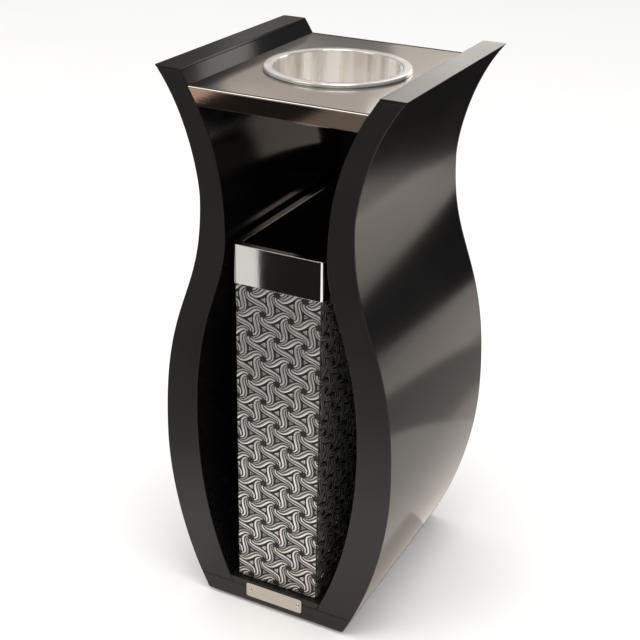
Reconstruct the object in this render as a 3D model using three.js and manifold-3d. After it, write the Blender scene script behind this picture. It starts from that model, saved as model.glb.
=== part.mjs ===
// Free-standing ashtray bin: a vase-shaped cabinet of two hollow S-curved side panels on a base board,
// a polished steel top plate with a lift-out ash bowl, and a bin of embossed sheet that pulls out in front.
// Units are millimetres, X to the right, Y to the back, Z up; the origin is on the floor, under the middle.

import * as THREE from "three";
import { mergeVertices } from "three/addons/utils/BufferGeometryUtils.js";
import Module from "manifold-3d";

const wasm = await Module();
wasm.setup();

// Driving dimensions
const footHeight = 4;
const cabinetHeight = 690;
const cabinetDepth = 300;
const seam = 0.3; // gap left between pieces that touch

const skinThickness = 1.2;
const ribThickness = 18;
const faceThickness = 1.5; // satin band glued over the front edges of a side panel
const backPanelThickness = 3;
const backPanelInset = 0.5; // its edge stays just inside the skins
const capThickness = 3;
const baseBoardThickness = 22;
const floorBoardThickness = 9.5;
const baseCornerRadius = 5;

const plateTop = 672; // above the cabinet's underside, as all heights below
const plateThickness = 1.2;
const plateBendRadius = 2.4;
const lipHeight = 21;
const backLipHeight = 14;
const bracketThickness = 1.5;
const bracketDrop = 16;
const bracketShelf = 15;

const rimOuterRadius = 86.5;
const rimInnerRadius = 74.6;
const rimHeight = 4;
const rimEdgeRadius = 1.4;
const bowlWall = 1;
const bowlDepth = 55;
const bowlCornerRadius = 9;
const plateHoleRadius = 77.5;

const binHalfWidth = 56;
const binFront = -142;
const binBack = 122.5;
const binWallThickness = 1;
const binCornerRadius = 3;
const binTop = 495;
const panHeight = 14;
const panWall = 1;
const collarHeight = 48.5;
const collarThickness = 1.2;
const collarClearance = 2; // room all round the wall for the folded edge of a bag
const collarFlange = 10;
const collarInnerLip = 9;

const badgeWidth = 80;
const badgeHeight = 20.5;
const badgeThickness = 0.8;
const badgeMiddle = 18.75;
const badgeCornerRadius = 3;
const rivetRadius = 1.6;
const rivetDome = 0.7;
const rivetEdge = 0.2;
const rivetSpacing = 69;

const footRadius = 13;
const footInset = 32;
const footSink = 1.5; // the pad is let this far into the base board
const footTaper = 1;
const footEdge = 0.8;

const front = -cabinetDepth / 2;
const back = cabinetDepth / 2;
const panelFront = front + faceThickness + seam;
const panelBack = back - backPanelThickness - seam;
const panelFoot = baseBoardThickness + seam;

// Side outline of the vase, as half widths at heights above the cabinet's underside: [half width, height].
// Each stretch is a cubic curve from one point to the next, through the two handles between them.
const outerStretches = [
  [[97.5, 0], [129.5, 62], [153, 147.5], [153, 227]],
  [[153, 227], [153, 415.5], [97, 414], [97, 542.5]],
  [[97, 542.5], [97, 567.5], [111, 642], [151, 690]],
];
// Mouth of the litter compartment: nearer to the outside at the top than at the foot.
const innerStretches = [
  [[49, 0], [87.5, 68], [109, 161], [109, 255]],
  [[109, 255], [109, 400], [65, 434], [65, 503]],
  [[65, 503], [65, 589], [87, 639.5], [121, 690]],
];

// A curve that gives the half width at any height.
class Flank {
  constructor(stretches) {
    this.curves = stretches.map(
      (s) => new THREE.CubicBezierCurve(...s.map(([x, z]) => new THREE.Vector2(x, z))),
    );
  }

  // Curve parameter is found by halving, since height only grows along each stretch.
  halfWidth(height) {
    const curve = this.curves.find((c) => height <= c.v3.y) ?? this.curves.at(-1);
    let low = 0;
    let high = 1;
    for (let i = 0; i < 40; i++) {
      const middle = (low + high) / 2;
      if (curve.getPoint(middle).y < height) low = middle;
      else high = middle;
    }
    return curve.getPoint(high).x;
  }

  // The half width moved outwards by a distance that is measured square to the flank.
  offset(height, distance) {
    const step = 0.5;
    const slope = (this.halfWidth(height + step) - this.halfWidth(height - step)) / (2 * step);
    return this.halfWidth(height) + distance * Math.hypot(1, slope);
  }

  // Points from one height up to another, each moved outwards by the distance.
  points(low, high, distance, steps) {
    return Array.from({ length: steps + 1 }, (_, i) => {
      const height = low + ((high - low) * i) / steps;
      return new THREE.Vector2(this.offset(height, distance), height);
    });
  }
}

const outerFlank = new Flank(outerStretches);
const innerFlank = new Flank(innerStretches);

// Finishes
const finish = {
  satinBlack: { color: 0x2b2826, roughness: 0.45, metalness: 0 },
  glossBlack: { color: 0x070708, roughness: 0.12, metalness: 0 },
  polished: { color: 0xd9d6d2, roughness: 0.08, metalness: 1 },
  brushed: { color: 0xa39c95, roughness: 0.3, metalness: 1 },
  embossed: { color: 0x9a9998, roughness: 0.35, metalness: 1 },
  rubber: { color: 0x151515, roughness: 0.9, metalness: 0 },
};

const cabinet = new THREE.Group();
cabinet.position.z = footHeight;

function addMesh(name, geometry, look, parent = cabinet) {
  const mesh = new THREE.Mesh(geometry, new THREE.MeshStandardMaterial(finish[look]));
  mesh.name = name;
  parent.add(mesh);
  return mesh;
}

// Solids for cutting and joining
function toSolid(geometry) {
  const bare = geometry.index ? geometry.toNonIndexed() : geometry.clone();
  bare.deleteAttribute("normal");
  bare.deleteAttribute("uv");
  const merged = mergeVertices(bare, 1e-4);
  return new wasm.Manifold(
    new wasm.Mesh({
      numProp: 3,
      vertProperties: new Float32Array(merged.attributes.position.array),
      triVerts: new Uint32Array(merged.index.array),
    }),
  );
}

function toGeometry(solid) {
  const mesh = solid.getMesh();
  const geometry = new THREE.BufferGeometry();
  geometry.setAttribute("position", new THREE.BufferAttribute(new Float32Array(mesh.vertProperties), 3));
  geometry.setIndex(new THREE.BufferAttribute(new Uint32Array(mesh.triVerts), 1));
  return geometry;
}

// A shape drawn in (X, Z) and given thickness from one Y to another.
function extrudeAlongY(shape, yLow, yHigh, curveSegments = 12) {
  const geometry = new THREE.ExtrudeGeometry(shape, {
    depth: yHigh - yLow,
    bevelEnabled: false,
    curveSegments,
  });
  geometry.rotateX(Math.PI / 2);
  geometry.translate(0, yHigh, 0);
  return geometry;
}

// A shape drawn in (X, Y) and given thickness from one Z to another.
function extrudeUp(shape, zLow, zHigh, curveSegments = 3) {
  const geometry = new THREE.ExtrudeGeometry(shape, {
    depth: zHigh - zLow,
    bevelEnabled: false,
    curveSegments,
  });
  geometry.translate(0, 0, zLow);
  return geometry;
}

function roundedRectangle(xLow, xHigh, yLow, yHigh, radius) {
  const shape = new THREE.Shape();
  shape.absarc(xHigh - radius, yLow + radius, radius, -Math.PI / 2, 0);
  shape.absarc(xHigh - radius, yHigh - radius, radius, 0, Math.PI / 2);
  shape.absarc(xLow + radius, yHigh - radius, radius, Math.PI / 2, Math.PI);
  shape.absarc(xLow + radius, yLow + radius, radius, Math.PI, Math.PI * 1.5);
  return shape;
}

const leastRadius = 0.4; // inside a corner that its wall would fill

// The same rectangle, open in the middle, with walls of the given thickness.
function rectangularFrame(xLow, xHigh, yLow, yHigh, radius, wall) {
  const shape = roundedRectangle(xLow, xHigh, yLow, yHigh, radius);
  const innerRadius = Math.max(radius - wall, leastRadius);
  const inside = roundedRectangle(xLow + wall, xHigh - wall, yLow + wall, yHigh - wall, innerRadius);
  shape.holes.push(new THREE.Path(inside.getPoints(3)));
  return shape;
}

// Closed outline between two flanks, for the side given by its sign: 1 is the right, -1 the left.
function bandShape(side, outside, inside) {
  const loop = [...outside, ...inside.toReversed()].map((p) => new THREE.Vector2(side * p.x, p.y));
  return new THREE.Shape(loop);
}

// Closed outline from a flank on the right across to the same flank on the left
function betweenFlanks(side) {
  return new THREE.Shape([...side, ...side.toReversed().map((p) => new THREE.Vector2(-p.x, p.y))]);
}

// Side panels: ribs inside, a bent sheet on each side, a band over the front and a strip across the top
const outlineSteps = 44;
const shortSteps = 4; // where a piece follows only a little of a flank
const capFoot = cabinetHeight - capThickness;

function addRib(side, name, yLow, yHigh) {
  const inset = skinThickness + seam;
  const outside = outerFlank.points(panelFoot, capFoot - seam, -inset, outlineSteps);
  const inside = innerFlank.points(panelFoot, capFoot - seam, inset, outlineSteps);
  addMesh(name, extrudeAlongY(bandShape(side, outside, inside), yLow, yHigh), "satinBlack");
}

function addSkin(side, name, flank, inward, look) {
  const face = flank.points(panelFoot, capFoot - seam, 0, outlineSteps);
  const hidden = flank.points(panelFoot, capFoot - seam, inward * skinThickness, outlineSteps);
  const shape = inward < 0 ? bandShape(side, face, hidden) : bandShape(side, hidden, face);
  addMesh(name, extrudeAlongY(shape, panelFront, panelBack), look);
}

// The S-shaped band that hides the edges of the skins and the rib in front
function addFrontFace(side, name) {
  const outside = outerFlank.points(panelFoot, capFoot - seam, 0, outlineSteps);
  const inside = innerFlank.points(panelFoot, capFoot - seam, 0, outlineSteps);
  const face = extrudeAlongY(bandShape(side, outside, inside), front, front + faceThickness);
  addMesh(name, face, "satinBlack");
}

function addCap(side, name) {
  const outside = outerFlank.points(capFoot, cabinetHeight, 0, shortSteps);
  const inside = innerFlank.points(capFoot, cabinetHeight, 0, shortSteps);
  addMesh(name, extrudeAlongY(bandShape(side, outside, inside), front, panelBack), "satinBlack");
}

function addSidePanel(side, word) {
  const ribMiddle = (panelFront + panelBack) / 2;
  addFrontFace(side, word + "_front_face");
  addRib(side, word + "_front_rib", panelFront, panelFront + ribThickness);
  addRib(side, word + "_middle_rib", ribMiddle - ribThickness / 2, ribMiddle + ribThickness / 2);
  addRib(side, word + "_back_rib", panelBack - ribThickness, panelBack);
  addSkin(side, word + "_outer_skin", outerFlank, -1, "glossBlack");
  addSkin(side, word + "_inner_skin", innerFlank, 1, "glossBlack");
  addCap(side, word + "_top_cap");
}

// Base: a thick board whose ends follow the outline, and a thin board on it between the side panels
function addBase() {
  const corner = baseCornerRadius;
  const right = outerFlank.points(corner, baseBoardThickness, 0, shortSteps);
  const foot = new THREE.Shape();
  const footHalfWidth = outerFlank.halfWidth(0) - corner / 2;
  foot.moveTo(-footHalfWidth, 0);
  foot.lineTo(footHalfWidth, 0);
  foot.quadraticCurveTo(outerFlank.halfWidth(corner / 3), 0, right[0].x, right[0].y);
  right.forEach((p) => foot.lineTo(p.x, p.y));
  right.toReversed().forEach((p) => foot.lineTo(-p.x, p.y));
  foot.quadraticCurveTo(-outerFlank.halfWidth(corner / 3), 0, -footHalfWidth, 0);
  let board = toSolid(extrudeAlongY(foot, front, panelBack, 5));
  footPlaces().forEach(([, x, y]) => {
    const radius = footRadius + seam;
    const socket = new THREE.CylinderGeometry(radius, radius, 2 * (footSink + seam), 24);
    board = board.subtract(toSolid(socket.rotateX(Math.PI / 2).translate(x, y, 0)));
  });
  addMesh("base_board", toGeometry(board), "satinBlack");

  const low = panelFoot;
  const high = baseBoardThickness + floorBoardThickness;
  const floor = betweenFlanks(innerFlank.points(low, high, -seam, shortSteps));
  addMesh("floor_board", extrudeAlongY(floor, front, panelBack), "satinBlack");
}

function addBackPanel() {
  const high = cabinetHeight - backPanelInset;
  const side = outerFlank.points(backPanelInset, high, -backPanelInset, outlineSteps);
  const notchSide = innerFlank.points(plateTop, high, backPanelInset, shortSteps);
  const outline = betweenFlanks([...side, ...notchSide.toReversed()]);
  addMesh("back_panel", extrudeAlongY(outline, panelBack + seam, back), "satinBlack");
}

function footPlaces() {
  const x = outerFlank.halfWidth(0) - footInset;
  const y = back - footInset;
  return [
    ["foot_front_left", -x, -y],
    ["foot_front_right", x, -y],
    ["foot_back_left", -x, y],
    ["foot_back_right", x, y],
  ];
}

// A round pad with a worn lower edge
function addFeet() {
  const profile = [
    [0, -footHeight],
    [footRadius - footEdge - footTaper, -footHeight],
    [footRadius - footTaper, footEdge - footHeight],
    [footRadius, footSink],
    [0, footSink],
  ].map(([r, z]) => new THREE.Vector2(r, z));
  footPlaces().forEach(([name, x, y]) => {
    const pad = new THREE.LatheGeometry(profile, 24).rotateX(Math.PI / 2).translate(x, y, 0);
    addMesh(name, pad, "rubber");
  });
}

// Top plate: one bent sheet, trimmed to the panels' inner faces and pierced for the bowl
function plateSection() {
  const t = plateThickness;
  const r = plateBendRadius;
  const plateBack = panelBack - seam;
  const lipFoot = plateTop - lipHeight;
  const backFoot = plateTop - backLipHeight;
  const section = new THREE.Shape();
  section.moveTo(front, lipFoot);
  section.lineTo(front, plateTop - r);
  section.absarc(front + r, plateTop - r, r, Math.PI, Math.PI / 2, true);
  section.lineTo(plateBack - r, plateTop);
  section.absarc(plateBack - r, plateTop - r, r, Math.PI / 2, 0, true);
  section.lineTo(plateBack, backFoot);
  section.lineTo(plateBack - t, backFoot);
  section.lineTo(plateBack - t, plateTop - r);
  section.absarc(plateBack - r, plateTop - r, r - t, 0, Math.PI / 2, false);
  section.lineTo(front + r, plateTop - t);
  section.absarc(front + r, plateTop - r, r - t, Math.PI / 2, Math.PI, false);
  section.lineTo(front + t, lipFoot);
  return section;
}

function addTopPlate() {
  const spare = 5; // the sheet and its cutters run past each other by this much
  const reach = innerFlank.halfWidth(plateTop) + spare;
  const bent = new THREE.ExtrudeGeometry(plateSection(), {
    depth: 2 * reach,
    bevelEnabled: false,
    curveSegments: 6,
  });
  bent.rotateX(Math.PI / 2).rotateZ(Math.PI / 2).translate(-reach, 0, 0);
  const side = innerFlank.points(plateTop - lipHeight - spare, plateTop + spare, -seam, 2 * shortSteps);
  const opening = extrudeAlongY(betweenFlanks(side), front - spare, back + spare);
  const hole = new THREE.CylinderGeometry(plateHoleRadius, plateHoleRadius, 4 * spare, 72);
  const plate = toSolid(bent)
    .intersect(toSolid(opening))
    .subtract(toSolid(hole.rotateX(Math.PI / 2).translate(0, 0, plateTop)));
  addMesh("top_plate", toGeometry(plate), "brushed");
}

// Bent angle under each long edge of the plate: one leg on the inner skin, one under the plate
function addPlateBracket(side, word) {
  const high = plateTop - plateThickness - seam;
  const t = bracketThickness;
  const against = innerFlank.points(high - bracketDrop, high, -seam, shortSteps);
  const clear = innerFlank.points(high - bracketDrop, high - t, -seam - t, shortSteps);
  const shelfEnd = against.at(-1).x - bracketShelf;
  const outline = [
    ...against,
    new THREE.Vector2(shelfEnd, high),
    new THREE.Vector2(shelfEnd, high - t),
    ...clear.toReversed(),
  ].map((p) => new THREE.Vector2(side * p.x, p.y));
  const margin = 12;
  const angle = extrudeAlongY(new THREE.Shape(outline), front + margin, panelBack - margin);
  addMesh(word + "_plate_bracket", angle, "brushed");
}

// Ash bowl: a drum that hangs in the plate's hole by a thick polished ring
const bowl = new THREE.Group();
cabinet.add(bowl);

function addBowl() {
  const foot = plateTop + seam;
  const top = foot + rimHeight;
  const r = rimEdgeRadius;
  const arc = (cx, cz, from, to) =>
    new THREE.EllipseCurve(cx, cz, r, r, from, to, false).getPoints(3);
  const ring = [
    new THREE.Vector2(rimInnerRadius, foot),
    new THREE.Vector2(rimOuterRadius - r / 2, foot),
    new THREE.Vector2(rimOuterRadius, foot + r / 2),
    ...arc(rimOuterRadius - r, top - r, 0, Math.PI / 2),
    ...arc(rimInnerRadius + r, top - r, Math.PI / 2, Math.PI),
    new THREE.Vector2(rimInnerRadius, foot),
  ];
  addMesh("bowl_rim", new THREE.LatheGeometry(ring, 64).rotateX(Math.PI / 2), "polished", bowl);

  const outerRadius = rimInnerRadius - seam;
  const innerRadius = outerRadius - bowlWall;
  const bottom = top - bowlDepth;
  const corner = (radius, cx, cz) =>
    new THREE.EllipseCurve(cx, cz, radius, radius, -Math.PI / 2, 0, false).getPoints(4);
  const centre = outerRadius - bowlCornerRadius;
  const drum = [
    new THREE.Vector2(0, bottom),
    ...corner(bowlCornerRadius, centre, bottom + bowlCornerRadius),
    new THREE.Vector2(outerRadius, top - r),
    new THREE.Vector2(innerRadius, top - r),
    ...corner(bowlCornerRadius - bowlWall, centre, bottom + bowlCornerRadius).toReversed(),
    new THREE.Vector2(0, bottom + bowlWall),
  ];
  addMesh("ash_bowl", new THREE.LatheGeometry(drum, 64).rotateX(Math.PI / 2), "brushed", bowl);
}

// Pull-out bin: folded wall, pan in its foot, and a collar over its top edge that traps the bag
const bin = new THREE.Group();
cabinet.add(bin);
const binFoot = baseBoardThickness + floorBoardThickness + seam;

function addBin() {
  const w = binHalfWidth;
  const wallTop = binTop - collarThickness - seam;
  const wall = rectangularFrame(-w, w, binFront, binBack, binCornerRadius, binWallThickness);
  addMesh("bin_wall", extrudeUp(wall, binFoot, wallTop), "embossed", bin);

  const inset = binWallThickness + seam;
  const corner = binCornerRadius - binWallThickness;
  const outside = roundedRectangle(-w + inset, w - inset, binFront + inset, binBack - inset, corner);
  const hollow = roundedRectangle(
    -w + inset + panWall,
    w - inset - panWall,
    binFront + inset + panWall,
    binBack - inset - panWall,
    corner - panWall,
  );
  const pan = toSolid(extrudeUp(outside, binFoot, binFoot + panHeight)).subtract(
    toSolid(extrudeUp(hollow, binFoot + panWall, binFoot + panHeight + 1)),
  );
  addMesh("bin_floor", toGeometry(pan), "brushed", bin);
}

function addCollar() {
  const t = collarThickness;
  const proud = t + collarClearance;
  const xOut = binHalfWidth + proud;
  const yLow = binFront - proud;
  const yHigh = binBack + proud;
  const radius = binCornerRadius + proud;
  const skirt = rectangularFrame(-xOut, xOut, yLow, yHigh, radius, t);
  const flange = rectangularFrame(-xOut, xOut, yLow, yHigh, radius, collarFlange);
  const inner = collarFlange - t;
  const lip = rectangularFrame(-xOut + inner, xOut - inner, yLow + inner, yHigh - inner, radius, t);
  const collar = toSolid(extrudeUp(skirt, binTop - collarHeight, binTop))
    .add(toSolid(extrudeUp(flange, binTop - t, binTop)))
    .add(toSolid(extrudeUp(lip, binTop - t - collarInnerLip, binTop)));
  addMesh("bin_collar", toGeometry(collar), "polished", bin);
}

// Badge: a blank plate across the joint of the two boards, held by two domed rivets
function addBadge() {
  const y = front - seam;
  const w = badgeWidth / 2;
  const h = badgeHeight / 2;
  const plate = roundedRectangle(-w, w, badgeMiddle - h, badgeMiddle + h, badgeCornerRadius);
  addMesh("badge_plate", extrudeAlongY(plate, y - badgeThickness, y, 3), "brushed");
  const dome = [
    new THREE.Vector2(0, 0),
    new THREE.Vector2(rivetRadius, 0),
    ...new THREE.EllipseCurve(0, rivetEdge, rivetRadius, rivetDome, 0, Math.PI / 2, false).getPoints(4),
  ];
  for (const [side, word] of [[-1, "left"], [1, "right"]]) {
    const rivet = new THREE.LatheGeometry(dome, 16);
    rivet.rotateX(Math.PI);
    rivet.translate((side * rivetSpacing) / 2, y - badgeThickness - seam / 3, badgeMiddle);
    addMesh("badge_rivet_" + word, rivet, "polished");
  }
}

addBase();
addFeet();
for (const [side, word] of [[-1, "left"], [1, "right"]]) {
  addSidePanel(side, word);
  addPlateBracket(side, word);
}
addBackPanel();
addTopPlate();
addBowl();
addBin();
addCollar();
addBadge();

const ashtrayBin = new THREE.Group();
ashtrayBin.add(cabinet);

export default ashtrayBin;
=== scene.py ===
# Looks for a free-standing ashtray bin: a vase-shaped black cabinet with a steel top plate, a lift-out
# ash bowl, and a bin of embossed sheet under a polished collar that pulls out at the front.
# Sizes in the dictionaries are millimetres, and heights are above the cabinet's underside.
from math import cos, pi, radians, sin

import bpy
from mathutils import Matrix, Vector


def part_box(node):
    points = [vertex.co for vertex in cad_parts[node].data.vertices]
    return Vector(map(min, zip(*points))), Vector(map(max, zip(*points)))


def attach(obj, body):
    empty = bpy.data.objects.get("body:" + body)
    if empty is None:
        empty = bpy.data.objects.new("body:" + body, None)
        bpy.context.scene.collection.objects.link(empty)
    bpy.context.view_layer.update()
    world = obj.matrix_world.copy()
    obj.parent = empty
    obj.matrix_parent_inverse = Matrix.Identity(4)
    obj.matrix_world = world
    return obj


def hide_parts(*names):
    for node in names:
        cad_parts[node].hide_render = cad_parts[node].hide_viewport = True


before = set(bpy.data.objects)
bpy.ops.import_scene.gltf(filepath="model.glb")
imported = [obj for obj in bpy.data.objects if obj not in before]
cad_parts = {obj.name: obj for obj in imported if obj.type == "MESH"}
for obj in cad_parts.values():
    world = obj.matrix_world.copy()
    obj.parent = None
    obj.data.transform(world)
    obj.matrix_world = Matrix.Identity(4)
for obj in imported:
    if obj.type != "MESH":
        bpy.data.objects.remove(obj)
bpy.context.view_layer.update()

mm = 0.001
footHeight = 4  # the rubber pads lift the cabinet's underside off the floor
across = {"x": (1, 2, 0), "y": (0, 2, 1), "z": (0, 1, 2)}  # where an outline's values and its depth go
smoothAngle = radians(40)


# Modelling helpers
def clearSelection():
    if bpy.context.object and bpy.context.object.mode != "OBJECT":
        bpy.ops.object.mode_set(mode="OBJECT")
    for thing in bpy.context.selected_objects:
        thing.select_set(False)


def pick(*pieces):
    clearSelection()
    for piece in pieces:
        piece.select_set(True)
    bpy.context.view_layer.objects.active = pieces[-1]


def named(name):
    piece = bpy.context.object
    piece.name = piece.data.name = name
    return piece


def editAll():
    bpy.ops.object.mode_set(mode="EDIT")
    bpy.ops.mesh.select_all(action="SELECT")


def leaveEdit(insideOut=False):
    bpy.ops.mesh.select_all(action="SELECT")
    bpy.ops.mesh.normals_make_consistent(inside=insideOut)
    bpy.ops.object.mode_set(mode="OBJECT")


def finishModifier(piece, kind, **settings):
    modifier = piece.modifiers.new(kind.lower(), kind)
    for key, value in settings.items():
        setattr(modifier, key, value)
    pick(piece)
    bpy.ops.object.modifier_apply(modifier=modifier.name)
    return piece


def roundEdges(piece, width, segments=3, angle=30):
    finishModifier(piece, "BEVEL", width=width * mm, segments=segments, limit_method="ANGLE",
                   angle_limit=radians(angle))
    pick(piece)
    bpy.ops.object.shade_smooth_by_angle(angle=smoothAngle)
    return finishModifier(piece, "WEIGHTED_NORMAL", keep_sharp=True)


def cutWith(piece, cutter, operation="DIFFERENCE"):
    finishModifier(piece, "BOOLEAN", object=cutter, operation=operation, solver="EXACT")
    bpy.data.objects.remove(cutter)
    return piece


def spot(x, y, height):
    return Vector((x, y, height + footHeight)) * mm


# Loop of edges, or a face, with its points laid out across the given axis at one depth
def addOutline(name, outline, depth, axis, fill):
    clearSelection()
    bpy.ops.mesh.primitive_circle_add(vertices=len(outline), fill_type=fill)
    piece = named(name)
    first, second, third = across[axis]
    for vertex, (a, b) in zip(piece.data.vertices, outline):
        point = [0, 0, 0]
        point[first], point[second], point[third] = a, b, depth
        vertex.co = spot(*point)
    return piece


def slab(name, outline, low, high, axis="y"):
    piece = addOutline(name, outline, low, axis, "NGON")
    move = [0, 0, 0]
    move[across[axis][2]] = (high - low) * mm
    editAll()
    bpy.ops.mesh.extrude_region_move(TRANSFORM_OT_translate={"value": move})
    leaveEdit()
    return piece


# A profile of (radius, height) turned once round an upright line through the given place
def turned(name, profile, place=(0, 0), steps=128):
    piece = addOutline(name, profile, 0, "y", "NOTHING")
    editAll()
    bpy.ops.mesh.spin(steps=steps, angle=2 * pi, center=(0, 0, 0), axis=(0, 0, 1))
    bpy.ops.mesh.select_all(action="SELECT")
    bpy.ops.mesh.remove_doubles(threshold=1e-5)
    bpy.ops.mesh.delete_loose(use_faces=False)
    bpy.ops.mesh.select_all(action="SELECT")
    bpy.ops.transform.translate(value=(place[0] * mm, place[1] * mm, 0))
    leaveEdit()
    pick(piece)
    bpy.ops.object.shade_smooth_by_angle(angle=smoothAngle)
    return piece


def arc(centre, radius, start, end, steps):
    turns = [radians(start + (end - start) * i / steps) for i in range(steps + 1)]
    return [(centre[0] + radius * cos(turn), centre[1] + radius * sin(turn)) for turn in turns]


def roundedRectangle(xLow, xHigh, yLow, yHigh, radius, steps=8):
    corners = [(xHigh, yLow, -90), (xHigh, yHigh, 0), (xLow, yHigh, 90), (xLow, yLow, 180)]
    outline = []
    for x, y, start in corners:
        centre = (x - radius if x == xHigh else x + radius, y - radius if y == yHigh else y + radius)
        outline += arc(centre, radius, start, start + 90, steps)
    return outline


# Shader helpers
class Wire:
    def __init__(self, finish, socket):
        self.finish, self.socket = finish, socket

    def math(self, operation, *values):
        return self.finish.node("ShaderNodeMath", {"operation": operation}, dict(enumerate(values)))

    def __add__(self, other):
        return self.math("ADD", self, other)

    def __sub__(self, other):
        return self.math("SUBTRACT", self, other)

    def __rsub__(self, other):
        return self.math("SUBTRACT", other, self)

    def __mul__(self, other):
        return self.math("MULTIPLY", self, other)

    __radd__, __rmul__ = __add__, __mul__


class Finish:
    def __init__(self, name):
        self.material = bpy.data.materials.new(name)
        self.material.use_nodes = True
        self.tree = self.material.node_tree
        self.tree.nodes.clear()

    # Any node: its settings first, then its sockets by name or number, as values or as wires
    def node(self, kind, settings=None, sockets=None, output=0):
        made = self.tree.nodes.new(kind)
        for key, value in (settings or {}).items():
            if key == "stops":
                ramp = made.color_ramp.elements
                while len(ramp) < len(value):
                    ramp.new(0.5)
                for element, (position, tone) in zip(ramp, value):
                    element.position, element.color = position, (*tone, 1)
            else:
                setattr(made, key, value)
        for key, value in (sockets or {}).items():
            if isinstance(value, Wire):
                self.tree.links.new(value.socket, made.inputs[key])
            else:
                made.inputs[key].default_value = value
        return made if output is None else Wire(self, made.outputs[output])

    def place(self, stretch=(1, 1, 1)):
        where = self.node("ShaderNodeTexCoord", output="Object")
        return self.node("ShaderNodeMapping", None, {"Vector": where, "Scale": stretch})

    def noise(self, scale, detail=2, roughness=0.5, stretch=(1, 1, 1)):
        where = self.place(stretch)
        sockets = {"Vector": where, "Scale": scale, "Detail": detail, "Roughness": roughness}
        return self.node("ShaderNodeTexNoise", None, sockets)

    def spread(self, value, low, high, start=0.3, end=0.7):
        sockets = {"Value": value, "From Min": start, "From Max": end, "To Min": low, "To Max": high}
        return self.node("ShaderNodeMapRange", None, sockets)

    def blend(self, share, first, second):
        sockets = {"Factor": share, 6: first, 7: second}
        return self.node("ShaderNodeMix", {"data_type": "RGBA"}, sockets, output=2)

    def bump(self, height, strength, distance):
        sockets = {"Height": height, "Strength": strength, "Distance": distance}
        return self.node("ShaderNodeBump", None, sockets)

    def surface(self, **sockets):
        spaced = {key.replace("_", " "): value for key, value in sockets.items()}
        shader = self.node("ShaderNodeBsdfPrincipled", None, spaced)
        self.node("ShaderNodeOutputMaterial", None, {"Surface": shader}, output=None)
        return self.material


def colour(r, g, b):
    return (r, g, b, 1)


def dress(piece, finish, body=None, stands=()):
    piece.data.materials.clear()
    piece.data.materials.append(finish)
    if body:
        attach(piece, body)
    if stands:
        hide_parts(*stands)
    return piece


# Camera: three-quarter view from the front right, looking down
cameraView = {
    "place": (0.6146, -1.2650, 1.0334), "aim": (0.0114, -0.0564, 0.3812), "roll": 1.13, "lens": 69.5,
}


def addCamera():
    lens = bpy.data.cameras.new("camera")
    lens.lens, lens.sensor_width = cameraView["lens"], 36
    camera = bpy.data.objects.new("camera", lens)
    bpy.context.scene.collection.objects.link(camera)
    line = Vector(cameraView["aim"]) - Vector(cameraView["place"])
    turn = line.to_track_quat("-Z", "Y").to_matrix().to_4x4()
    roll = Matrix.Rotation(radians(cameraView["roll"]), 4, "Z")
    camera.matrix_world = Matrix.Translation(cameraView["place"]) @ turn @ roll
    bpy.context.scene.camera = camera


addCamera()
print("camera placed")

# Finishes
satinPaint = {
    "dark": (0.0040, 0.0034, 0.0029), "light": (0.015, 0.012, 0.0098), "grain": 900,
    "gloss": (0.34, 0.44), "capGloss": (0.2, 0.27),
}
glossPaint = {"dark": (0.0022, 0.0022, 0.0024), "light": (0.004, 0.004, 0.0044), "gloss": (0.12, 0.18)}
steelTones = {"polished": (0.82, 0.81, 0.79), "plate": (0.60, 0.575, 0.54), "sheet": (0.90, 0.87, 0.83)}


def satinBlack(name="satin black paint", gloss="gloss", grain=0.12):
    look = Finish(name)
    speckle = look.noise(satinPaint["grain"], detail=3, roughness=0.6)
    cloud = look.noise(9, detail=3)
    share = look.spread(speckle, 0, 1, 0.42, 0.72) * look.spread(cloud, 0.6, 1)
    return look.surface(
        Base_Color=look.blend(share, colour(*satinPaint["dark"]), colour(*satinPaint["light"])),
        Roughness=look.spread(cloud, *satinPaint[gloss]),
        Normal=look.bump(speckle, grain, 0.0003),
    )


# The caps are rubbed smoother than the boards
def capBlack():
    return satinBlack("rubbed black paint", "capGloss", 0.05)


def glossBlack():
    look = Finish("gloss black paint")
    cloud = look.noise(5, detail=4)
    ripple = look.noise(160, detail=1)
    return look.surface(
        Base_Color=look.blend(cloud, colour(*glossPaint["dark"]), colour(*glossPaint["light"])),
        Roughness=look.spread(cloud, *glossPaint["gloss"]),
        Normal=look.bump(ripple, 0.05, 0.0004),
    )


def polishedSteel():
    look = Finish("polished steel")
    haze = look.noise(30, detail=4)
    scratch = look.noise(600, detail=2, stretch=(1, 1, 0.08))
    return look.surface(
        Base_Color=look.blend(haze, colour(*steelTones["polished"]), colour(0.74, 0.73, 0.71)),
        Metallic=1.0,
        Roughness=look.spread(haze, 0.03, 0.06),
        Normal=look.bump(scratch, 0.03, 0.0001),
    )


# The ring is worn to a soft shine
def ringSteel():
    look = Finish("ring steel")
    haze = look.noise(45, detail=4)
    scratch = look.noise(500, detail=2)
    return look.surface(
        Base_Color=look.blend(haze, colour(0.93, 0.92, 0.90), colour(0.86, 0.84, 0.81)),
        Metallic=look.spread(haze, 0.62, 0.75),
        Roughness=look.spread(haze, 0.1, 0.18),
        Normal=look.bump(scratch, 0.04, 0.0001),
    )


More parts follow.
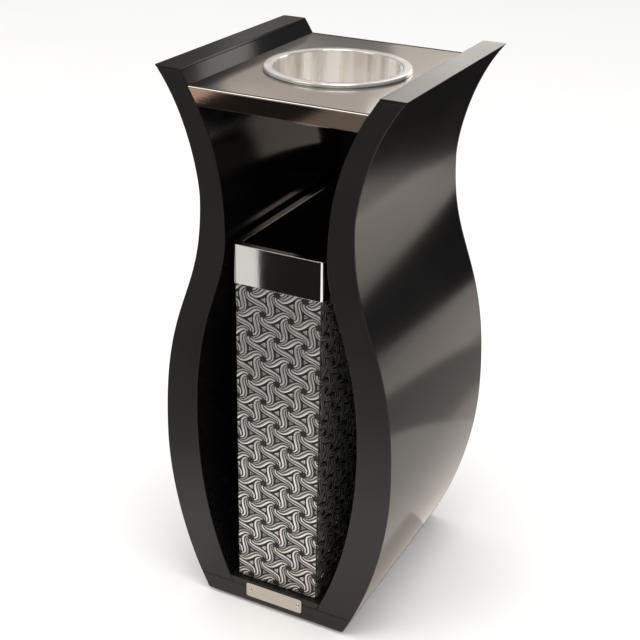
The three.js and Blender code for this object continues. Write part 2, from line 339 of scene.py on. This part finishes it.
def brushedPlate():
    look = Finish("brushed plate")
    grain = look.noise(1, detail=3, roughness=0.7, stretch=(14, 900, 900))
    cloud = look.noise(7, detail=3)
    height = look.node("ShaderNodeSeparateXYZ", None, {0: look.place()}, output="Z")
    flat = look.spread(height, 0, 1, 0.6736, 0.6758)  # the folded lip is left bright
    return look.surface(
        Base_Color=look.blend(grain, colour(*steelTones["plate"]), colour(0.66, 0.635, 0.60)),
        Metallic=1.0,
        Roughness=look.spread(cloud, 0.12, 0.19) * flat + 0.045 * (1 - flat),
        Normal=look.bump(grain, 0.06, 0.0001),
    )


# Grain that runs round an upright axis, as a spun bowl has, and painted reflection streaks down the wall
def spunSteel():
    look = Finish("spun steel")
    where = look.node("ShaderNodeTexCoord", output="Object")
    flat = look.node("ShaderNodeVectorMath", {"operation": "MULTIPLY"}, {0: where, 1: (1, 1, 0)})
    reach = look.node("ShaderNodeVectorMath", {"operation": "LENGTH"}, {0: flat}, output="Value")
    height = look.node("ShaderNodeSeparateXYZ", None, {0: where}, output="Z")
    line = look.node("ShaderNodeCombineXYZ", None, {"X": reach * 1400, "Y": height * 1400})
    grain = look.node("ShaderNodeTexNoise", None, {"Vector": line, "Scale": 1.0, "Detail": 3.0})
    cloud = look.noise(34, detail=2, stretch=(1, 1, 0.06))
    wall = look.spread(height, 0, 1, 0.628, 0.642)  # the streaks stay on the wall
    # Painted reflection: darker, browner vertical streaks in the wall's colour stand in for reflected
    # light and shade
    paintedStreaks = look.spread(cloud, 0, 1, 0.38, 0.62) * wall
    return look.surface(
        Base_Color=look.blend(paintedStreaks, colour(0.95, 0.93, 0.90), colour(0.56, 0.51, 0.47)),
        Metallic=look.spread(paintedStreaks, 0.55, 0.85, 0, 1),
        Roughness=look.spread(paintedStreaks, 0.3, 0.16, 0, 1),
        Normal=look.bump(grain, 0.25, 0.0001),
    )


# Raised parts are bare steel, and the ground between them is dark
def embossedSteel():
    look = Finish("embossed steel")
    rise = look.node("ShaderNodeAttribute", {"attribute_name": "rise"}, output="Fac")
    grain = look.noise(900, detail=2)
    bare = look.spread(rise + grain * 0.12 - 0.06, 0, 1, 0.22, 0.78)
    return look.surface(
        Base_Color=look.blend(bare, colour(0.040, 0.036, 0.033), colour(*steelTones["sheet"])),
        Metallic=look.spread(bare, 0.2, 1, 0, 1),
        Roughness=look.spread(bare, 0.55, 0.28, 0, 1) + grain * 0.08,
        Normal=look.bump(grain, 0.08, 0.0001),
    )


def darkSheet():
    look = Finish("dark sheet")
    dots = look.node("ShaderNodeTexVoronoi", {"feature": "F1"}, {"Vector": look.place(), "Scale": 520.0})
    cloud = look.noise(60, detail=3)
    return look.surface(
        Base_Color=look.blend(cloud, colour(0.010, 0.0095, 0.009), colour(0.03, 0.028, 0.026)),
        Metallic=0.4,
        Roughness=look.spread(cloud, 0.4, 0.6),
        Normal=look.bump(dots, 0.3, 0.0003),
    )


def rubber():
    look = Finish("rubber")
    grain = look.noise(700, detail=3)
    return look.surface(
        Base_Color=look.blend(grain, colour(0.012, 0.012, 0.012), colour(0.03, 0.03, 0.03)),
        Roughness=look.spread(grain, 0.75, 0.92),
        Normal=look.bump(grain, 0.3, 0.0004),
    )


def badgeMetal():
    look = Finish("badge metal")
    grain = look.noise(1, detail=3, roughness=0.7, stretch=(30, 500, 1500))
    return look.surface(
        Base_Color=look.blend(grain, colour(0.72, 0.69, 0.63), colour(0.56, 0.54, 0.50)),
        Metallic=1.0,
        Roughness=look.spread(grain, 0.24, 0.36),
        Normal=look.bump(grain, 0.12, 0.0001),
    )


makers = (
    satinBlack, capBlack, glossBlack, polishedSteel, ringSteel, brushedPlate, spunSteel, embossedSteel,
    darkSheet, rubber, badgeMetal,
)
finishes = {make.__name__: make() for make in makers}
print("finishes mixed")

# Side outline of the vase as [half width, height]: each stretch is a cubic curve, with two handles
# between its ends
flanks = {
    "outer": [
        [[97.5, 0], [129.5, 62], [153, 147.5], [153, 227]],
        [[153, 227], [153, 415.5], [97, 414], [97, 542.5]],
        [[97, 542.5], [97, 567.5], [111, 642], [151, 690]],
    ],
    "inner": [
        [[49, 0], [87.5, 68], [109, 161], [109, 255]],
        [[109, 255], [109, 400], [65, 434], [65, 503]],
        [[65, 503], [65, 589], [87, 639.5], [121, 690]],
    ],
}
cabinet = {
    "height": 690, "front": -150, "back": 150, "seam": 0.3, "skin": 1.2, "faceBand": 1.5, "backPanel": 3,
    "backInset": 0.5, "cap": 3, "baseBoard": 22, "floorBoard": 9.5, "baseCorner": 5, "steps": 150,
}
panelFront = cabinet["front"] + cabinet["faceBand"] + cabinet["seam"]
panelBack = cabinet["back"] - cabinet["backPanel"] - cabinet["seam"]
panelFoot = cabinet["baseBoard"] + cabinet["seam"]
capFoot = cabinet["height"] - cabinet["cap"]


def curvePoint(stretch, t):
    share = ((1 - t) ** 3, 3 * t * (1 - t) ** 2, 3 * t * t * (1 - t), t**3)
    return [sum(part * point[axis] for part, point in zip(share, stretch)) for axis in (0, 1)]


# Height only grows along a stretch, so the curve's parameter is found by halving
def halfWidth(flank, height):
    stretch = next((s for s in flanks[flank] if height <= s[3][1]), flanks[flank][-1])
    low, high = 0, 1
    for _ in range(30):
        middle = (low + high) / 2
        low, high = (middle, high) if curvePoint(stretch, middle)[1] < height else (low, middle)
    return curvePoint(stretch, high)[0]


# Points up a flank, moved outwards by a distance measured square to it
def flankPoints(flank, low, high, distance, steps):
    points = []
    for i in range(steps + 1):
        height = low + (high - low) * i / steps
        slope = halfWidth(flank, height + 0.5) - halfWidth(flank, height - 0.5)
        points.append((halfWidth(flank, height) + distance * (1 + slope * slope) ** 0.5, height))
    return points


def band(side, outside, inside):
    return [(side * x, height) for x, height in outside + inside[::-1]]


def mirrored(points):
    return points + [(-x, height) for x, height in points[::-1]]


def addSidePanel(side, word):
    top = capFoot - cabinet["seam"]
    steps = cabinet["steps"]
    outside = flankPoints("outer", panelFoot, top, 0, steps)
    inside = flankPoints("inner", panelFoot, top, 0, steps)
    front = cabinet["front"]
    face = slab(word + "FrontFace", band(side, outside, inside), front, front + cabinet["faceBand"])
    roundEdges(face, 0.7)
    dress(face, finishes["satinBlack"], "cabinet", [word + "_front_face"])
    for name, flank, shown, inward in (("Outer", "outer", outside, -1), ("Inner", "inner", inside, 1)):
        hidden = flankPoints(flank, panelFoot, top, inward * cabinet["skin"], steps)
        skin = slab(word + name + "Skin", band(side, shown, hidden), panelFront, panelBack)
        roundEdges(skin, 0.25, segments=2, angle=60)
        stands = [f"{word}_{name.lower()}_skin"]
        dress(skin, finishes["glossBlack"], "cabinet", stands)
    outside = flankPoints("outer", capFoot, cabinet["height"], 0, 3)
    inside = flankPoints("inner", capFoot, cabinet["height"], 0, 3)
    cap = slab(word + "TopCap", band(side, outside, inside), front, panelBack)
    roundEdges(cap, 0.8)
    dress(cap, finishes["capBlack"], "cabinet", [word + "_top_cap"])


for side, word in ((-1, "left"), (1, "right")):
    addSidePanel(side, word)
print("side panels built")


def footPlaces():
    x, y = halfWidth("outer", 0) - feet["inset"], cabinet["back"] - feet["inset"]
    return {"front_left": (-x, -y), "front_right": (x, -y), "back_left": (-x, y), "back_right": (x, y)}


# Base boards and back
feet = {
    "radius": 13, "inset": 32, "sink": 1.5, "edge": 0.8,
    "groove": [(5, 0), (4.4, 0.5), (3.4, 0.5), (2.8, 0)],  # in from the pad's side, and up into it
}
backScrews = {
    "radius": 3.6, "height": 1.5, "edge": 0.8, "slot": 0.9, "turn": 37, "inset": 13,
    "heights": (60, 215, 370, 520, 640),
}


def addBase():
    corner = cabinet["baseCorner"]
    side = flankPoints("outer", corner, cabinet["baseBoard"], 0, 6)
    foot = (halfWidth("outer", 0) - corner / 2, 0)
    knee = (halfWidth("outer", corner / 3), 0)
    bend = []
    for i in range(6):
        t = i / 6
        shares = list(zip(((1 - t) ** 2, 2 * t * (1 - t), t * t), (foot, knee, side[0])))
        bend.append(tuple(sum(share * point[axis] for share, point in shares) for axis in (0, 1)))
    board = slab("baseBoard", mirrored(bend + side), cabinet["front"], panelBack)
    roundEdges(board, 1.1, angle=50)
    for x, y in footPlaces().values():
        clearSelection()
        bpy.ops.mesh.primitive_cylinder_add(
            vertices=48, radius=(feet["radius"] + cabinet["seam"]) * mm,
            depth=2 * (feet["sink"] + cabinet["seam"]) * mm, location=spot(x, y, 0))
        cutWith(board, named("socket"))
    dress(board, finishes["satinBlack"], "cabinet", ["base_board"])

    top = cabinet["baseBoard"] + cabinet["floorBoard"]
    ends = mirrored(flankPoints("inner", panelFoot, top, -cabinet["seam"], 3))
    floor = slab("floorBoard", ends, cabinet["front"], panelBack)
    roundEdges(floor, 0.8)
    dress(floor, finishes["satinBlack"], "cabinet", ["floor_board"])


def addBackPanel():
    inset = cabinet["backInset"]
    high = cabinet["height"] - inset
    side = flankPoints("outer", inset, high, -inset, cabinet["steps"])
    notch = flankPoints("inner", plate["top"], high, inset, 4)
    panel = slab("backPanel", mirrored(side + notch[::-1]), panelBack + cabinet["seam"], cabinet["back"])
    roundEdges(panel, 0.6)
    dress(panel, finishes["satinBlack"], "cabinet", ["back_panel"])


# Pan heads with a slot, in a row up each side of the back panel
def addBackScrews():
    r, h = backScrews["radius"], backScrews["height"]
    heads = []
    for height in backScrews["heights"]:
        for side in (-1, 1):
            x = side * (halfWidth("outer", height) - backScrews["inset"])
            clearSelection()
            bpy.ops.mesh.primitive_cylinder_add(
                vertices=32, radius=r * mm, depth=h * mm, rotation=(pi / 2, 0, 0),
                location=spot(x, cabinet["back"] + h / 2, height))
            head = named("screwHead")
            clearSelection()
            bpy.ops.mesh.primitive_cube_add(size=1, location=spot(x, cabinet["back"] + h, height))
            cut = named("slot")
            slot = backScrews["slot"] * mm
            cut.scale = (2.4 * r * mm, 1.2 * slot, slot)
            cut.rotation_euler.y = radians(backScrews["turn"] * len(heads))
            bpy.context.view_layer.update()
            finishModifier(head, "BEVEL", width=backScrews["edge"] * mm, segments=3, limit_method="ANGLE")
            heads.append(cutWith(head, cut))
    pick(*heads)
    bpy.ops.object.join()
    screws = named("backScrews")
    bpy.ops.object.transform_apply()
    bpy.ops.object.shade_smooth_by_angle(angle=smoothAngle)
    dress(screws, finishes["polishedSteel"], "cabinet")


def addFeet():
    edge, r = feet["edge"], feet["radius"]
    low = -footHeight
    profile = [(0, low)] + [(r - inward, low + rise) for inward, rise in feet["groove"]]
    profile += [(r - edge - 1, low)] + arc((r - edge - 1, low + edge), edge, -90, 0, 4)
    profile += [(r, feet["sink"]), (0, feet["sink"])]
    for word, place in footPlaces().items():
        pad = turned("pad_" + word, profile, place, steps=48)
        dress(pad, finishes["rubber"], "cabinet", ["foot_" + word])


# Top plate: one bent sheet between the panels, pierced for the bowl
plate = {"top": 672, "thickness": 1.2, "bend": 2.4, "lip": 21, "backLip": 14, "hole": 77.5}


def addTopPlate():
    t, r, top = plate["thickness"], plate["bend"], plate["top"]
    front, back = cabinet["front"], panelBack - 0.2
    section = [(front, top - plate["lip"])]
    section += arc((front + r, top - r), r, 180, 90, 8) + arc((back - r, top - r), r, 90, 0, 8)
    section += [(back, top - plate["backLip"]), (back - t, top - plate["backLip"])]
    section += arc((back - r, top - r), r - t, 0, 90, 8) + arc((front + r, top - r), r - t, 90, 180, 8)
    section += [(front + t, top - plate["lip"])]
    reach = halfWidth("inner", top) + 10
    sheet = slab("topPlate", section, -reach, reach, "x")
    side = flankPoints("inner", top - plate["lip"] - 5, top + 5, -cabinet["seam"], 8)
    cutWith(sheet, slab("opening", mirrored(side), front - 5, cabinet["back"] + 5), "INTERSECT")
    clearSelection()
    bpy.ops.mesh.primitive_cylinder_add(vertices=128, radius=plate["hole"] * mm, depth=0.02,
                                        location=spot(0, 0, top))
    cutWith(sheet, named("hole"))
    roundEdges(sheet, 0.25, segments=2, angle=50)
    dress(sheet, finishes["brushedPlate"], "cabinet", ["top_plate"])


# Blank badge on the base board, held by two domed rivets
badge = {
    "halfWidth": 40, "low": 8.5, "high": 29, "thickness": 0.8, "corner": 3, "stand": 0.3,
    "rivet": 2.7, "dome": 1.5,
}


def addBadge():
    w, back = badge["halfWidth"], cabinet["front"] - badge["stand"]
    outline = roundedRectangle(-w, w, badge["low"], badge["high"], badge["corner"], steps=6)
    sheet = slab("badgePlate", outline, back - badge["thickness"], back)
    roundEdges(sheet, 0.25, segments=2)
    dress(sheet, finishes["badgeMetal"], "cabinet", ["badge_plate"])
    for word in ("left", "right"):
        node = "badge_rivet_" + word
        low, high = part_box(node)
        r, dome = badge["rivet"], badge["dome"]
        profile = [(0, -footHeight)]
        for i in range(6):
            turn = radians(15 * i)
            profile.append((r * cos(turn), dome * sin(turn) - footHeight))
        head = turned("badgeRivet_" + word, profile + [(0, dome - footHeight)], steps=32)
        head.rotation_euler.x = pi / 2
        face = (back - badge["thickness"] - 0.05) * mm
        head.location = ((low[0] + high[0]) / 2, face, (low[2] + high[2]) / 2)
        pick(head)
        bpy.ops.object.transform_apply()
        dress(head, finishes["polishedSteel"], "cabinet", [node])


# CAD pieces that are right as they are, mostly out of sight
carried = {
    "satinBlack": ["left_front_rib", "left_middle_rib", "left_back_rib", "right_front_rib",
                   "right_middle_rib", "right_back_rib"],
    "brushedPlate": ["left_plate_bracket", "right_plate_bracket"],
    "darkSheet": ["bin_floor"],
}


def finishCarried():
    for finish, names in carried.items():
        for name in names:
            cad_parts[name].data.materials.clear()
            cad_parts[name].data.materials.append(finishes[finish])


addBase()
addBackPanel()
addBackScrews()
addFeet()
addTopPlate()
addBadge()
finishCarried()
print("boards and plate built")

# Ash bowl
bowl = {
    "outer": 86.5, "inner": 74.6, "rim": 4, "edge": 1.9, "lowEdge": 0.6,
    "wall": 1, "depth": 55, "corner": 9,
}


def addBowl():
    foot = plate["top"] + cabinet["seam"]
    top = foot + bowl["rim"]
    r = bowl["edge"]
    low = bowl["lowEdge"]
    ring = [(bowl["inner"], foot), (bowl["outer"] - low, foot)]
    ring += arc((bowl["outer"] - low, foot + low), low, -90, 0, 3)
    ring += arc((bowl["outer"] - r, top - r), r, 0, 90, 8)
    ring += arc((bowl["inner"] + r, top - r), r, 90, 180, 8)
    rim = turned("bowlRim", ring, steps=160)
    dress(rim, finishes["ringSteel"], "bowl", ["bowl_rim"])

    out = bowl["inner"] - cabinet["seam"]
    inside = out - bowl["wall"]
    bottom = top - bowl["depth"]
    bend = (out - bowl["corner"], bottom + bowl["corner"])
    drum = [(0, bottom)] + arc(bend, bowl["corner"], -90, 0, 8) + [(out, top - r), (inside, top - r)]
    drum += arc(bend, bowl["corner"] - bowl["wall"], 0, -90, 8) + [(0, bottom + bowl["wall"])]
    pot = turned("ashBowl", drum, steps=160)
    dress(pot, finishes["spunSteel"], "bowl", ["ash_bowl"])


addBowl()
print("bowl turned")

# Pull-out bin
binBox = {"halfWidth": 56, "front": -142, "back": 122.5, "wall": 1, "corner": 1.6, "top": 495}
collar = {
    "height": 48.5, "sheet": 1.2, "clearance": 2, "flange": 10, "lip": 9, "corner": 6.2, "bend": 0.9,
}
binFoot = cabinet["baseBoard"] + cabinet["floorBoard"] + cabinet["seam"]


def addBinWall():
    w = binBox["halfWidth"]
    outline = roundedRectangle(-w, w, binBox["front"], binBox["back"], binBox["corner"])
    high = binBox["top"] - collar["sheet"] - cabinet["seam"]
    wall = addOutline("binWall", outline, binFoot, "z", "NOTHING")
    editAll()
    bpy.ops.mesh.extrude_edges_move(TRANSFORM_OT_translate={"value": (0, 0, (high - binFoot) * mm)})
    leaveEdit()
    finishModifier(wall, "SOLIDIFY", thickness=binBox["wall"] * mm, offset=-1)
    roundEdges(wall, 0.2, segments=2, angle=60)
    dress(wall, finishes["darkSheet"], "bin", ["bin_wall"])


# The collar is one sheet: a skirt outside, a flat flange and a short lip inside
def addCollar():
    t = collar["sheet"]
    proud = t + collar["clearance"]
    w, low, high = binBox["halfWidth"] + proud, binBox["front"] - proud, binBox["back"] + proud
    outline = roundedRectangle(-w, w, low, high, collar["corner"])
    sheet = addOutline("binCollar", outline, binBox["top"] - collar["height"], "z", "NOTHING")
    middle = spot(0, (low + high) / 2, 0)
    shrink = ((w - collar["flange"] + t) / w, (high - low - 2 * (collar["flange"] - t)) / (high - low), 1)
    editAll()
    bpy.ops.mesh.extrude_edges_move(TRANSFORM_OT_translate={"value": (0, 0, collar["height"] * mm)})
    bpy.ops.mesh.extrude_edges_move()
    bpy.ops.transform.resize(value=shrink, center_override=middle)
    bpy.ops.mesh.extrude_edges_move(TRANSFORM_OT_translate={"value": (0, 0, -(collar["lip"] + t) * mm)})
    leaveEdit()
    finishModifier(sheet, "SOLIDIFY", thickness=t * mm, offset=-1, use_even_offset=True)
    roundEdges(sheet, collar["bend"], segments=4, angle=50)
    dress(sheet, finishes["polishedSteel"], "collar", ["bin_collar"])


# Weave of S-shaped strands between the points of a three-way lattice, drawn flat: X along the sheet and Y
# up it. A boss is [radius, rise, turn].
weave = {
    "pitch": 36.4, "row": 28.9, "anchor": (-1.0, 383.9), "start": (1.7, -4.6), "swing": (14, -16),
    "section": [(-4.3, -0.15), (-3.1, 0.5), (-2, 0.38), (-0.6, 0), (0.9, 0.6), (2.4, 0.8), (3.9, -0.15)],
    "taper": 0.72, "bigBoss": (4.3, 0.75, 90), "smallBoss": (3.8, 0.4, -90), "bossShift": 0.8,
    "chamfer": 0.7, "dimple": 1.1, "high": 445.6, "margin": 1, "rise": 0.8,
}


# One strand: a cubic curve split at its middle, so that it swells there and thins out at its ends
def addStrand():
    start, swing = Vector(weave["start"]), Vector(weave["swing"])
    end, back = Vector((weave["pitch"], 0)) - start, Vector((weave["pitch"], 0)) - swing
    middle, inward = (start + end) / 2, (start + 2 * swing + back) / 4
    onward = (swing + 2 * back + end) / 4
    stations = [(start, start, (start + swing) / 2, weave["taper"]), (inward, middle, onward, 1),
                ((back + end) / 2, end, end, weave["taper"])]
    clearSelection()
    bpy.ops.curve.primitive_bezier_curve_add()
    outline = named("strandSection")
    outline.data.splines.clear()
    ring = outline.data.splines.new("POLY")
    ring.points.add(len(weave["section"]) - 1)
    for point, (x, y) in zip(ring.points, weave["section"]):
        point.co = (x * mm, y * mm, 0, 1)
    ring.use_cyclic_u = True
    clearSelection()
    bpy.ops.curve.primitive_bezier_curve_add()
    strand = named("strand")
    line = strand.data.splines[0]
    line.bezier_points.add(1)
    for point, (left, here, right, radius) in zip(line.bezier_points, stations):
        point.handle_left_type = point.handle_right_type = "FREE"
        places = [(x * mm, y * mm, 0) for x, y in (left, here, right)]
        point.handle_left, point.co, point.handle_right = places
        point.radius = radius
    strand.data.dimensions, strand.data.resolution_u = "2D", 5
    strand.data.bevel_mode, strand.data.bevel_object, strand.data.use_fill_caps = "OBJECT", outline, True
    bpy.ops.object.convert(target="MESH")
    bpy.data.objects.remove(outline)
    editAll()
    leaveEdit()
    return bpy.context.object


# A low three-sided boss with a dimple, in the space between three strands
def addBoss(x, y, radius, rise, turn):
    clearSelection()
    bpy.ops.mesh.primitive_cone_add(
        vertices=3, radius1=radius * mm, radius2=(radius - weave["chamfer"]) * mm, depth=rise * mm,
        location=(x * mm, y * mm, rise * mm / 2), rotation=(0, 0, radians(turn)))
    boss = named("boss")
    bpy.ops.object.transform_apply()
    top = max(vertex.co.z for vertex in boss.data.vertices)
    bpy.ops.object.mode_set(mode="EDIT")
    bpy.ops.mesh.select_all(action="DESELECT")
    bpy.ops.object.mode_set(mode="OBJECT")
    for face in boss.data.polygons:
        face.select = all(boss.data.vertices[i].co.z > top - 1e-6 for i in face.vertices)
    bpy.ops.object.mode_set(mode="EDIT")
    bpy.ops.mesh.select_mode(type="FACE")
    bpy.ops.mesh.inset(thickness=weave["dimple"] * mm)
    bpy.ops.transform.translate(value=(0, 0, -0.6 * rise * mm))
    bpy.ops.mesh.select_mode(type="VERT")
    leaveEdit()
    return boss


# The lattice's smallest repeat: three strands and two bosses, and the same again half a pitch along on
# the next row
def addRepeat():
    pitch, regularRow = weave["pitch"], weave["pitch"] * 0.75**0.5
    parts = [addStrand()]
    for _ in range(2):
        pick(parts[-1])
        bpy.ops.object.duplicate()
        bpy.ops.transform.rotate(value=radians(120), orient_axis="Z", center_override=(0, 0, 0))
        bpy.ops.object.transform_apply()
        parts.append(bpy.context.object)
    shift = weave["bossShift"]
    parts.append(addBoss(pitch / 2 + shift, -regularRow / 3, *weave["bigBoss"]))
    parts.append(addBoss(shift, -regularRow * 2 / 3, *weave["smallBoss"]))
    pick(*parts)
    bpy.ops.object.join()
    repeat = named("weaveRepeat")
    repeat.scale.y = weave["row"] / regularRow
    bpy.ops.object.transform_apply()
    step = (pitch / 2 * mm, -weave["row"] * mm, 0)
    bpy.ops.object.duplicate_move(TRANSFORM_OT_translate={"value": step})
    bpy.ops.object.transform_apply()
    pick(repeat, bpy.context.object)
    bpy.ops.object.join()
    repeat = named("weaveRepeat")
    rise = repeat.data.attributes.new("rise", "FLOAT", "POINT")
    for value, vertex in zip(rise.data, repeat.data.vertices):
        value.value = max(vertex.co.z, 0) / (weave["rise"] * mm)
    return repeat


# The sheet runs round the bin, so each wall shows the weave from its own distance along the sheet
def addWeave(name, repeat, low, high, turn, corner):
    pitch, drop, margin = weave["pitch"], 2 * weave["row"], weave["margin"]
    low, high, foot, top = low + margin, high - margin, binFoot + margin, weave["high"]
    left = weave["anchor"][0] + pitch * ((low - weave["anchor"][0]) // pitch - 1)
    peak = weave["anchor"][1] + drop * ((top - weave["anchor"][1]) // drop + 1)
    sheet = repeat.copy()
    sheet.data = repeat.data.copy()
    bpy.context.scene.collection.objects.link(sheet)
    sheet.name = sheet.data.name = name
    sheet.location = (left * mm, peak * mm, 0)
    pick(sheet)
    bpy.ops.object.transform_apply()
    columns, rows = int((high - left) // pitch) + 2, int((peak - foot) // drop) + 2
    for count, step in ((columns, (pitch * mm, 0, 0)), (rows, (0, -drop * mm, 0))):
        finishModifier(sheet, "ARRAY", count=count, use_relative_offset=False, use_constant_offset=True,
                       constant_offset_displace=step)
    borders = [((low, 0), (-1, 0)), ((high, 0), (1, 0)), ((0, foot), (0, -1)), ((0, top), (0, 1))]
    for (x, y), normal in borders:
        editAll()
        bpy.ops.mesh.bisect(
            plane_co=(x * mm, y * mm, 0), plane_no=(*normal, 0), use_fill=True, clear_outer=True)
        bpy.ops.object.mode_set(mode="OBJECT")
    sheet.location = (-(low - margin) * mm, footHeight * mm, 0)
    bpy.ops.object.transform_apply()
    sheet.rotation_euler = (pi / 2, 0, radians(turn))
    sheet.location = (corner[0] * mm, corner[1] * mm, 0)
    bpy.ops.object.transform_apply()
    bpy.ops.object.shade_smooth_by_angle(angle=radians(60))
    dress(sheet, finishes["embossedSteel"], "bin")


def addWeaves():
    w, front, back = binBox["halfWidth"], binBox["front"], binBox["back"]
    side = back - front
    repeat = addRepeat()
    addWeave("weaveFront", repeat, -w, w, 0, (-w, front))
    addWeave("weaveRight", repeat, w, w + side, 90, (w, front))
    addWeave("weaveBack", repeat, w + side, 3 * w + side, 180, (w, back))
    addWeave("weaveLeft", repeat, -w - side, -w, -90, (-w, back))
    bpy.data.objects.remove(repeat)


addBinWall()
addCollar()
addWeaves()
print("bin folded and embossed")


# Floor, softboxes and cards. A softbox is [place, aim, size, power].
room = {"bright": 1.0, "mirrored": 0.12, "warmth": (1, 0.93, 0.86)}
softboxes = {
    "frontBox": [(-1.3, -1.9, 2.7), (0, 0, 0.4), (1.5, 1.5), 17],
    "topBox": [(0.2, -0.3, 2.8), (0, 0, 0.6), (1.1, 1.1), 22],
}


def addStage():
    clearSelection()
    bpy.ops.mesh.primitive_plane_add(size=14)
    floor = named("floor")
    look = Finish("floor")
    cloud = look.noise(3, detail=2)
    tone = look.blend(cloud, colour(0.95, 0.95, 0.945), colour(0.93, 0.93, 0.925))
    dress(floor, look.surface(Base_Color=tone, Roughness=0.9))


def addSoftbox(name, place, aim, size, power):
    lamp = bpy.data.lights.new(name, "AREA")
    lamp.shape, lamp.size, lamp.size_y, lamp.energy = "RECTANGLE", size[0], size[1], power
    lamp.color = room["warmth"]
    softbox = bpy.data.objects.new(name, lamp)
    bpy.context.scene.collection.objects.link(softbox)
    softbox.location = place
    softbox.rotation_euler = (Vector(aim) - Vector(place)).to_track_quat("-Z", "Y").to_euler()
    softbox.visible_camera = False


# Cards lie on the floor or stand up, and only show in reflections. They glow to paint light and shade
# into
# the reflections: dark cards are painted shade and bright ones painted light.
# Each is [middle, size, turns about X, Y and Z, tone]
cards = {
    "frontDark": [(-1.15, -1.85, 0.003), (3.1, 2.5), (0, 0, 0), (0.014, 0.012, 0.010)],
    "collarBright": [(-0.61, -0.9, 0.1), (0.31, 0.2), (90, 0, 0), (0.80, 0.79, 0.76)],
    "lipLeft": [(-1.65, -2.2, 0.006), (0.6, 0.6), (0, 0, 0), (0.62, 0.40, 0.31)],
    "lipRight": [(-0.70, -2.2, 0.006), (0.55, 0.6), (0, 0, 0), (0.17, 0.13, 0.105)],
    "warmFloorReflection": [(0.62, 0.9, 0.002), (1.5, 2.3), (0, 0, 0), (0.80, 0.72, 0.65)],
    "backDark": [(-0.83, 2.4, 0.003), (2.3, 3.0), (0, 0, 0), (0.008, 0.008, 0.008)],
    "edgeDark": [(0.10, 1.42, 0.007), (0.8, 1.6), (0, 0, -24.6), (0.008, 0.008, 0.008)],
    "faceShade": [(-0.42, -0.50, 0.006), (0.36, 0.26), (0, 0, 0), (0.12, 0.105, 0.095)],
    "farDark": [(1.5, 4.2, 0.004), (7.0, 4.4), (0, 0, 0), (0.02, 0.019, 0.018)],
    "backBright": [(0.82, 1.38, 0.005), (0.72, 1.15), (0, 0, 0), (1.15, 1.04, 0.94)],
    "backShade": [(0.52, 0.58, 0.005), (0.46, 0.36), (0, 0, 0), (0.42, 0.39, 0.355)],
    "bandFloorReflection": [(0.42, 1.05, 0.004), (0.4, 0.7), (0, 0, 0), (0.62, 0.55, 0.49)],
    "footShade": [(0.10, -0.03, 0.007), (0.13, 0.28), (0, 0, 0), (0.60, 0.54, 0.48)],
    "backFloorReflection": [(0.36, 0.16, 0.005), (0.62, 0.48), (0, 0, 0), (0.98, 0.90, 0.82)],
    "plateHigh": [(-0.52, 1.95, 1.6), (1.65, 0.76), (90, 0, 0), (0.60, 0.54, 0.49)],
    "plateLow": [(-0.25, 1.95, 1.08), (1.05, 0.28), (90, 0, 0), (0.66, 0.62, 0.58)],
    # capBright paints a highlight on the top caps, and insideGlow paints a highlight along the collar's
    # flange
    "capBright": [(0.061, 0.2, 0.766), (0.22, 0.09), (90, 35, 0), (2.0, 1.92, 1.8)],
    "insideGlow": [(0.01, 0.14, 0.6), (0.10, 0.12), (90, 0, 0), (0.62, 0.53, 0.46)],
}


def addCards():
    for name, (middle, size, turns, tone) in cards.items():
        clearSelection()
        bpy.ops.mesh.primitive_plane_add(size=1)
        card = named(name)
        card.scale = (*size, 1)
        card.rotation_euler = [radians(turn) for turn in turns]
        card.location = middle
        bpy.ops.object.transform_apply()
        look = Finish(name)
        light = look.node("ShaderNodeEmission", None, {"Color": colour(*tone), "Strength": 1.0})
        look.node("ShaderNodeOutputMaterial", None, {"Surface": light}, output=None)
        dress(card, look.material)
        card.visible_camera = card.visible_diffuse = card.visible_shadow = False


# A white room to the eye and on matt surfaces, and a dim one in reflections
def lightRoom():
    world = bpy.data.worlds.new("room")
    bpy.context.scene.world = world
    world.use_nodes = True
    nodes, links = world.node_tree.nodes, world.node_tree.links
    rays = nodes.new("ShaderNodeLightPath")
    strength = nodes.new("ShaderNodeMapRange")
    strength.inputs["To Min"].default_value = room["bright"]
    strength.inputs["To Max"].default_value = room["mirrored"]
    links.new(rays.outputs["Is Glossy Ray"], strength.inputs["Value"])
    nodes["Background"].inputs["Color"].default_value = (1, 1, 1, 1)
    links.new(strength.outputs["Result"], nodes["Background"].inputs["Strength"])
    for name, settings in softboxes.items():
        addSoftbox(name, *settings)


bpy.context.scene.view_settings.view_transform = "Standard"
addStage()
addCards()
lightRoom()
print("lights set")
